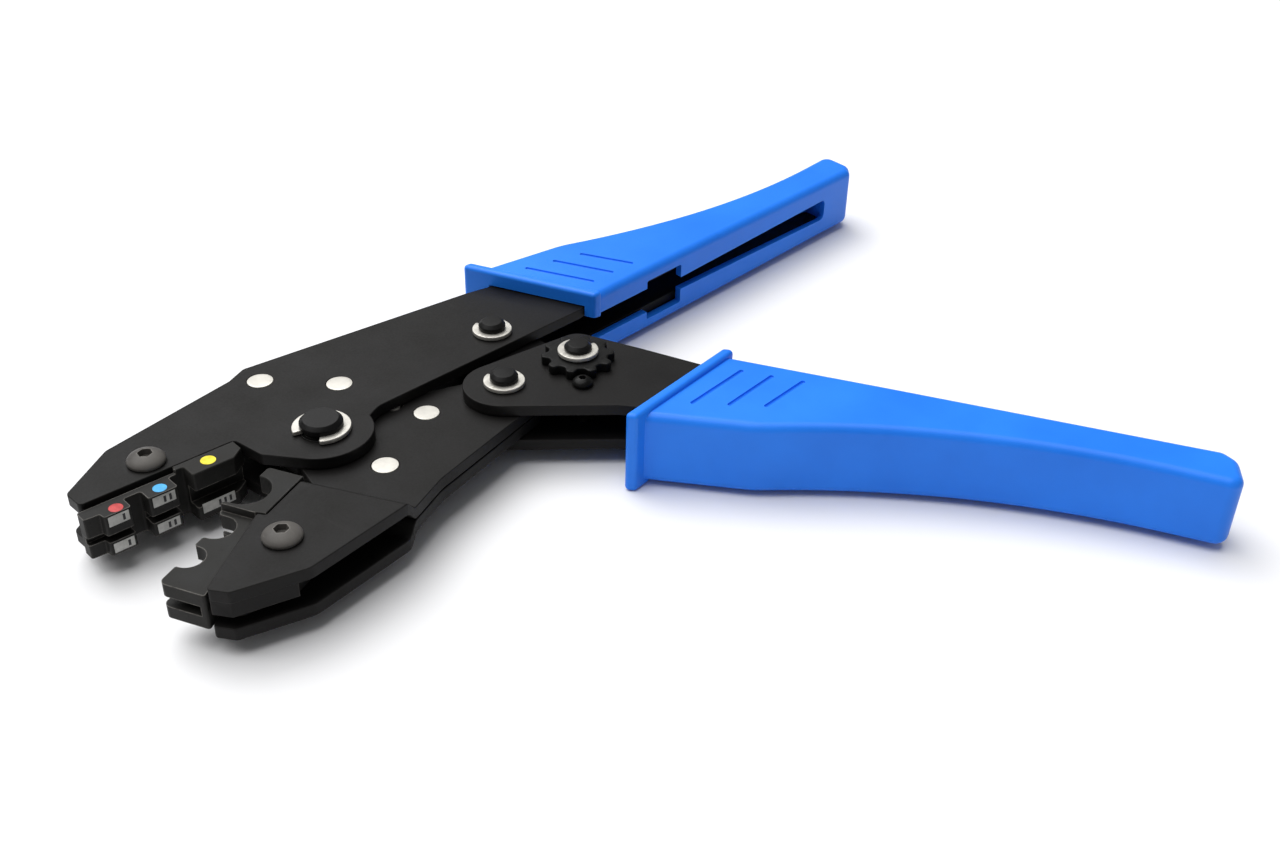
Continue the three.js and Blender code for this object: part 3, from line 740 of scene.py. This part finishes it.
def toggle_link(name):
    teeth = []
    for i in range(14):
        a = -66 + 6 * i
        for offset, r in ((0, 9.0), (1.2, 10.0)):
            b = math.radians(a + offset)
            teeth.append((TOGGLE[0] + r * math.cos(b), TOGGLE[1] + r * math.sin(b)))
    corners = [
        *arc(TOGGLE, 9.0, 148, 288),
        *teeth,
        *arc(TOGGLE, 9.0, 18, 38),
        (57.6, -12.5, 5),
        *arc(LINK, 9.0, -20, 200),
        (45.4, -11.5, 5),
    ]
    holes = [circle(TOGGLE, ECCENTRIC_R + PLAY), circle(LINK_EYE, LINK_EYE_R)]
    return slab(name, rounded(corners), -CORE + 0.1, CORE - 0.1, 0.12, holes, 2)


def ratchet_pawl(name):
    x, y = PAWL_PIVOT
    corners = [
        *arc(PAWL_PIVOT, 3.4, -10, 80),
        (x - 2.4, y + 5.0, 0.4),
        (x - 4.9, y + 5.2, 0.3),
        (x - 4.2, y + 0.8, 1),
        *arc(PAWL_PIVOT, 3.4, 200, 255),
        (x + 3.6, y - 5.4, 0.9),
        (x + 6.2, y - 3.6, 0.9),
    ]
    return slab(name, rounded(corners), -2.4, 2.4, 0.15, [circle(PAWL_PIVOT, ANCHOR_R + PLAY, 32)], 2)


def star_wheel(name):
    lobes = 10
    aim = math.atan2(LOCK_SCREW[1] - WHEEL[1], LOCK_SCREW[0] - WHEEL[0])
    points = []
    for i in range(240):
        a = 2 * math.pi * i / 240
        wave = math.tanh(2.0 * math.cos(lobes * (a - aim - math.pi / lobes))) / math.tanh(2.0)
        r = 7.2 + 0.74 * wave
        points.append((WHEEL[0] + r * math.cos(a), WHEEL[1] + r * math.sin(a)))
    return slab(name, points, WHEEL_LOW, WHEEL_HIGH, 0.28, [circle(WHEEL, PIN_R + PLAY, 48)])


# ---------------------------------------------------------------- dies


def die_shape(name, profile, tongue, front_z, front_gap, gap_from, gap_to, axis, turn, *more_cuts):
    """Die with a thick rear part, a thinner front part, two rows with a gap between them and a tongue."""
    made = slab(name, rounded(profile, step=math.radians(6)), -PLATE_OUT, PLATE_OUT, 0.25)
    combine(
        made,
        "DIFFERENCE",
        box("step", (28.6, -30, front_z), (60, 30, 9)),
        box("step", (28.6, -30, -9), (60, 30, -front_z)),
        box("row", (5, gap_from, -2.4), (28.8, gap_to, 1.6)),
        box("row", (28.7, gap_from, front_gap[0]), (60, gap_to, front_gap[1])),
    )
    combine(made, "UNION", slab("tongue", rounded(tongue), -CORE, CORE, 0.15, segments=2))
    combine(made, "DIFFERENCE", prism("hole", circle(axis, SCREW_R + PLAY, 40), -9, 9), *more_cuts)
    soften(made, 0.16, 50)
    return turn_z(made, turn)


def fixed_die(name):
    profile = [
        (15.3, -8.1),
        (28.4, -8.1),
        (28.4, -7.5),
        (48.2, -7.5, 0.4),
        (48.2, -4.7, 0.4),
        (45.2, -4.5, 0.3),
        (45.0, LUG_FACE, 0.5),
        (39.7, LUG_FACE, 0.5),
        (39.7, -6.1, 0.6),
        (36.2, -6.1, 0.6),
        (36.2, LUG_FACE, 0.5),
        (30.2, LUG_FACE, 0.5),
        (30.2, -6.7, 0.6),
        (26.9, -6.7, 0.6),
        (26.9, LUG_FACE, 0.5),
        (18.1, LUG_FACE, 0.5),
        (15.3, -5.0, 0.4),
    ]
    tongue = [(16.2, -7.6), (47.0, -7.0), (46.2, -12.6, 1), (35, -18.6, 3), (16.2, -18.6, 3)]
    return die_shape(name, profile, tongue, DIE_Z, (-1.5, 0.1), -5.8, 30, FIXED_SCREW, JAW_LINE)


def moving_die(name):
    def nest(number):
        u, v, r = NESTS[number]
        return arc((u, v), r, 180, 0, 6)

    profile = [
        (15.2, 5.3),
        (15.2, -2.5, 0.8),
        (18.4, -2.5, 0.2),
        *nest(0),
        (27.6, -4.1, 0.8),
        (29.8, -4.1, 0.9),
        *nest(1),
        (36.6, -2.5, 0.6),
        (39.3, -2.5, 0.6),
        *nest(2),
        (45.5, -2.0, 0.4),
        (50.4, -2.0, 1.4),
        (50.4, 7.5, 0.5),
        (28.4, 3.3),
        (28.0, 5.3),
    ]
    tongue = [(18.6, 2.5), (47.6, 4.2), (46.6, 11.2, 2), (37.6, 17.0, 3), (18.6, 17.0, 3)]
    nose_gap = box("nose_gap", (45.5, -9, -1.2), (60, 6.2, 1.0))
    gap = (-0.8, 0.7)
    return die_shape(name, profile, tongue, MOVING_DIE_Z, gap, -30, 3.0, MOVING_SCREW, JAW_OPEN, nose_gap)


# ---------------------------------------------------------------- grips


def side_slot(start, end, radius, y_low, y_high):
    """Tapered cutter with a rounded outline in the x-z plane that runs across y."""
    (x0, half0), (x1, half1) = start, end
    points = rounded([(x0, -half0, radius), (x1, -half1, radius), (x1, half1, radius), (x0, half0, radius)])
    made = prism("slot", points, -y_high, -y_low)
    made.data.transform(Matrix.Rotation(math.radians(90), 4, "X"))
    return made


def groove(start, end, width, level):
    """Capsule cutter for a thumb groove in a face at this level."""
    a, b = Vector(start), Vector(end)
    turn = math.degrees(math.atan2((b - a).y, (b - a).x))
    length = (b - a).length / 2
    half = width / 2
    points = arc((length - half, 0), half, -90, 90, 20) + arc((half - length, 0), half, 90, 270, 20)
    made = slab("groove", points, level - 0.6, level + 0.6, 0.3, segments=2)
    middle = (a + b) / 2
    made.data.transform(Matrix.Translation((*middle, 0)) @ Matrix.Rotation(math.radians(turn), 4, "Z"))
    return made


def grip_shape(name, grip):
    hollow = []
    for i in range(27):
        x = 34 + 3 * i
        hollow.append((x, 5.9 - (x - 72.5) ** 2 / 368))
    body = slab(name, rounded([
        (2.2, -0.2),
        (27, 0.3, 20),
        *hollow,
        (GRIP_LENGTH, -0.2, 2.8),
        (GRIP_LENGTH, 8.8, 3.2),
        (118.4, 11.8, 2.6),
        (17.2, 27.3),
    ]), -GRIP_HALF, GRIP_HALF, 2.0, segments=7)
    bm = bmesh.new()
    bm.from_mesh(body.data)
    geometry = list(bm.verts) + list(bm.edges) + list(bm.faces)
    bmesh.ops.bisect_plane(bm, geom=geometry, plane_co=(GRIP_TAPER_FROM, 0, 0), plane_no=(1, 0, 0))
    for v in bm.verts:
        run = max(0.0, v.co.x - GRIP_TAPER_FROM) / (GRIP_LENGTH - GRIP_TAPER_FROM)
        v.co.z *= 1 + (GRIP_END_SCALE - 1) * run
    bm.to_mesh(body.data)
    bm.free()
    flange = slab("flange", rounded([
        (0, -2.5, 1.0),
        (3.0, -2.5, 1.0),
        (19.3, 28.3, 1.0),
        (16.3, 28.3, 1.0),
    ]), -FLANGE_HALF, FLANGE_HALF, 0.95, segments=5)
    combine(body, "UNION", flange)
    pocket = [
        (-8, 3.3),
        (-3, 3.5),
        (62.4, 9.3),
        (107.6, 6.3),
        (107.6, 11.9),
        (62.4, 18.5),
        (17.2, 25.4),
        (13.4, 26.6),
        (-8, 26.6),
    ]
    grooves = []
    for x0, y0, x1, y1 in ((12.7, 6.1, 21.5, 21.5), (20.2, 7, 28, 20.6), (27.6, 8, 34.7, 19.8)):
        for face in (-1, 1):
            grooves.append(groove((x0, y0), (x1, y1), 1.05, face * (GRIP_HALF + 0.08)))
    inside = combine(
        prism("pocket", pocket, -PLATE_OUT - 0.3, PLATE_OUT + 0.3),
        "UNION",
        side_slot((12, 3.2), (36.3, 3.2), 0.3, 12, 34),
        side_slot((35.3, 5.2), (47.7, 5.2), 0.5, 12, 34),
        side_slot((45, 1.6), (107.4, 2.9), 1.5, 9.0, 34),
    )
    combine(body, "DIFFERENCE", inside, *grooves)
    soften(body, 0.22, 38, 2)
    x, y, turn, side = grip
    if side < 0:
        body.data.transform(Matrix.Scale(-1, 4, (0, 1, 0)))
        body.data.flip_normals()
    body.data.transform(Matrix.Translation((x, y, 0)) @ Matrix.Rotation(math.radians(turn), 4, "Z"))
    return body


# ---------------------------------------------------------------- assembly


def add(name, shape, body, slot, material, sharp=42):
    """Piece that stands for the CAD node of the same name."""
    shape.name = name + "_fine"
    return piece(shape, body, slot, material, name, sharp=sharp)


for level, low, high in (("upper", PLATE_IN, PLATE_OUT), ("lower", -PLATE_OUT, -PLATE_IN)):
    add(f"frame_plate_{level}", frame_plate("plate", low, high), "frame", "blacked_steel", BLACKED)
    add(f"handle_plate_{level}", handle_plate("plate", low, high), "handle", "blacked_steel", BLACKED)
    side = 1 if level == "upper" else -1
    add(f"jaw_plate_{level}", jaw_plate("plate", side), "jaw", "blacked_steel", BLACKED)

for i, axis in enumerate(FRAME_RIVETS):
    add(f"frame_rivet_{i + 1}", rivet_shape("rivet", axis, FRAME_COLLAR_R), "frame", "bright_steel", BRIGHT)
for i, axis in enumerate(JAW_RIVETS):
    shape = cross_pin("rivet", axis, RIVET_R, -CORE - 0.06, CORE + 0.06)
    add(f"jaw_rivet_{i + 1}", shape, "jaw", "bright_steel", BRIGHT)
for i, axis in enumerate(grip_points(MOVING_GRIP, MOVING_TANG_RIVETS)):
    rivet = rivet_shape("rivet", axis, TANG_COLLAR_R)
    add(f"handle_rivet_{i + 1}", rivet, "handle", "blacked_steel", PIN_BLACK)
tang_rivet = grip_points(FIXED_GRIP, [FIXED_TANG_RIVET])[0]
add("frame_tang_rivet", rivet_shape("rivet", tang_rivet, TANG_COLLAR_R), "frame", "blacked_steel", PIN_BLACK)

for node, axis, r, head_r, head_low, gap, clip_r, body in (
    ("main_pin", MAIN, MAIN_PIN_R, 6.2, -MID_Z, 190, 5.9, "frame"),
    ("link_pin", LINK, PIN_R, PIN_HEAD_R, PIN_HEAD_LOW, 60, CLIP_R, "frame"),
    ("handle_pin", HANDLE, PIN_R, PIN_HEAD_R, PIN_HEAD_LOW, 60, CLIP_R, "jaw"),
):
    pin = pin_shape("pin", axis, r, head_r, head_low, CLIP_LOW, PIN_TOP)
    add(node, pin, body, "blacked_steel", PIN_BLACK)
    add(f"{node}_clip", clip_shape("clip", axis, r, clip_r, CLIP_LOW, gap), body, "bright_steel", BRIGHT)

eccentric = pin_shape("pin", WHEEL, PIN_R, PIN_HEAD_R, PIN_HEAD_LOW, WHEEL_CLIP_LOW, ECCENTRIC_TOP)
half = CORE + 0.1
middle = lathe("middle", TOGGLE, [(0, -half), (ECCENTRIC_R, -half), (ECCENTRIC_R, half), (0, half)])
add("eccentric_pin", combine(eccentric, "UNION", middle), "handle", "blacked_steel", PIN_BLACK)
wheel_clip = clip_shape("clip", WHEEL, PIN_R, CLIP_R, WHEEL_CLIP_LOW, 20)
add("eccentric_pin_clip", wheel_clip, "handle", "bright_steel", BRIGHT)
add("star_wheel", star_wheel("wheel"), "handle", "wheel_steel", WHEEL_BLACK)
lock = screw_shape("screw", LOCK_SCREW, LOCK_SCREW_R, 2.3, 1.8, PLATE_OUT + 0.1, PLATE_IN + 0.2)
add("lock_screw", lock, "handle", "wheel_steel", WHEEL_BLACK)

for prefix, axis, turn, body, shape in (
    ("fixed_die", FIXED_SCREW, JAW_LINE, "frame", fixed_die("die")),
    ("moving_die", MOVING_SCREW, JAW_OPEN, "jaw", moving_die("die")),
):
    add(prefix, shape, body, "die_steel", DIE, sharp=50)
    place = turned([axis], turn)[0]
    screw = screw_shape("screw", place, SCREW_R, SCREW_HEAD_R, 2.2, PLATE_OUT + 0.1, -PLATE_OUT - 3.6)
    add(f"{prefix}_screw", screw, body, "screw_steel", SCREW_GREY)
    nut = nut_shape("nut", place, -PLATE_OUT - 3.3, -PLATE_OUT - 0.1)
    add(f"{prefix}_nut", nut, body, "screw_steel", SCREW_GREY)

for node, axis, r, low, high, body in (
    ("spring_anchor_frame", SPRING_FRAME, ANCHOR_R, -PLATE_OUT, CORE, "frame"),
    ("spring_anchor_jaw", SPRING_JAW, JAW_ANCHOR_R, -CORE, 2.6, "jaw"),
    ("pawl_pin", PAWL_PIVOT, ANCHOR_R, -PLATE_OUT, CORE, "handle"),
    ("pawl_spring_post", PAWL_POST, PAWL_POST_R, -PLATE_OUT, CORE, "handle"),
):
    add(node, cross_pin("post", axis, r, low, high), body, "bright_steel", BRIGHT)
add("toggle_link", toggle_link("link"), "link", "blacked_steel", PIN_BLACK)
add("ratchet_pawl", ratchet_pawl("pawl"), "pawl", "screw_steel", SCREW_GREY)
add("fixed_grip", grip_shape("grip", FIXED_GRIP), "frame", "grip_plastic", PLASTIC, sharp=60)
add("moving_grip", grip_shape("grip", MOVING_GRIP), "handle", "grip_plastic", PLASTIC, sharp=60)


def towards(start, end, distance):
    a, b = Vector(start), Vector(end)
    return tuple(a + (b - a).normalized() * distance)


def spring(name, a, b, gap_a, gap_b, sizes):
    """Spring drawn between the two anchor points that it joins; it is tied to no body."""
    shape = spring_shape("spring", towards(a, b, gap_a), towards(b, a, gap_b), *sizes)
    shape.name = name + "_fine"
    piece(shape, None, "spring_steel", SPRING, name)
    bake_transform(shape)


pawl_tail = (PAWL_PIVOT[0] + 4.8, PAWL_PIVOT[1] - 4.4)
spring("return_spring", SPRING_FRAME, SPRING_JAW, 3.0, 5.2, (1.9, 0.4, 9))
spring("pawl_spring", PAWL_POST, pawl_tail, 2.6, 2.0, (1.2, 0.25, 7))

# Colour codes and size marks on the fixed die, with pale patches painted on its lug faces as the reflection
# of the white surroundings
for name, place, level, r, material in (
    ("code_dot_yellow", (22.2, -5.5), PLATE_OUT, 1.5, YELLOW),
    ("code_dot_blue", (33.0, -4.7), DIE_Z, 1.35, BLUE),
    ("code_dot_red", (42.0, -4.4), DIE_Z, 1.35, RED),
):
    axis = turned([place], JAW_LINE)[0]
    profile = [(0, level - 0.2), (r, level - 0.2), (r, level + 0.05, 0.04), (0, level + 0.07)]
    dot = lathe("dot", axis, rounded(profile, closed=False), 40)
    dot.name = name
    piece(dot, "frame", "die_steel", material)

for lug, (u0, u1) in enumerate(((19.0, 26.0), (30.9, 35.5), (40.3, 44.4))):
    for row, (z0, z1) in enumerate(((1.9, 4.1), (-4.1, -2.0))):
        if lug == 0 and row == 0:
            continue
        # Pale patch painted on the lug face as the reflection of the white surroundings, in the upper and
        # lower row; the dark bars on it stand for the size numbers.
        patch = box("patch", (u0, LUG_FACE - 0.2, z0), (u1, LUG_FACE + 0.04, z1))
        turn_z(soften(patch, 0.03, 40), JAW_LINE)
        patch.name = f"size_patch_{lug + 1}_{row + 1}"
        piece(patch, "frame", "die_steel", PAINTED_LUG_REFLECTION)
        for k in range(3 - lug):
            u = u0 + 0.8 + 1.15 * k
            bar = box("bar", (u, LUG_FACE, z0 + 0.4), (u + 0.5, LUG_FACE + 0.07, z1 - 0.4))
            turn_z(bar, JAW_LINE)
            bar.name = f"size_bar_{lug + 1}_{row + 1}_{k + 1}"
            piece(bar, "frame", "die_steel", INK)

# ---------------------------------------------------------------- stage, light and camera

bm = bmesh.new()
bmesh.ops.create_grid(bm, x_segments=1, y_segments=1, size=6)
floor = to_object("floor", bm)
floor_look = Shader("pale_floor", specular=0.1)
tone = floor_look.mix(floor_look.noise(3, 2), (0.86, 0.86, 0.87), (0.88, 0.88, 0.89))
floor.data.materials.append(floor_look.done(tone, floor_look.span(floor_look.noise(8, 2), 0, 1, 0.75, 0.85)))
floor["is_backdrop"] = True

world = bpy.data.worlds.new("studio")
world.use_nodes = True
world.node_tree.nodes["Background"].inputs["Color"].default_value = (1, 1, 1, 1)
world.node_tree.nodes["Background"].inputs["Strength"].default_value = 0.22
bpy.context.scene.world = world


def light(name, kind, energy, aim, **settings):
    data = bpy.data.lights.new(name, kind)
    data.energy = energy
    for key, value in settings.items():
        setattr(data, key, value)
    lamp = bpy.data.objects.new(name, data)
    lamp.rotation_mode = "QUATERNION"
    lamp.rotation_quaternion = Vector(aim).normalized().to_track_quat("-Z", "Y")
    bpy.context.scene.collection.objects.link(lamp)
    return lamp


light("key", "SUN", 3.05, (0.10, -0.35, -1.0), angle=math.radians(70))
panel = light("panel", "AREA", 2.0, (-0.3, -0.6, -0.75), size=0.6)
panel.location = (0.2, 0.45, 0.55)

camera_data = bpy.data.cameras.new("camera")
camera_data.sensor_width = 36
camera_data.lens = 40.465
camera_data.clip_start = 0.01
camera = bpy.data.objects.new("camera", camera_data)
right = Vector((0.60211788, -0.79811698, 0.02152565))
down = Vector((-0.42820278, -0.34556649, -0.83500071))
ahead = Vector((0.67386678, 0.49355151, -0.54982767))
turn = Matrix((right, -down, -ahead)).transposed().to_4x4()
camera.matrix_world = Matrix.Translation((-0.155278, -0.192491, 0.174833)) @ turn
bpy.context.scene.collection.objects.link(camera)
bpy.context.scene.camera = camera
bpy.context.scene.view_settings.view_transform = "Standard"

low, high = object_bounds()
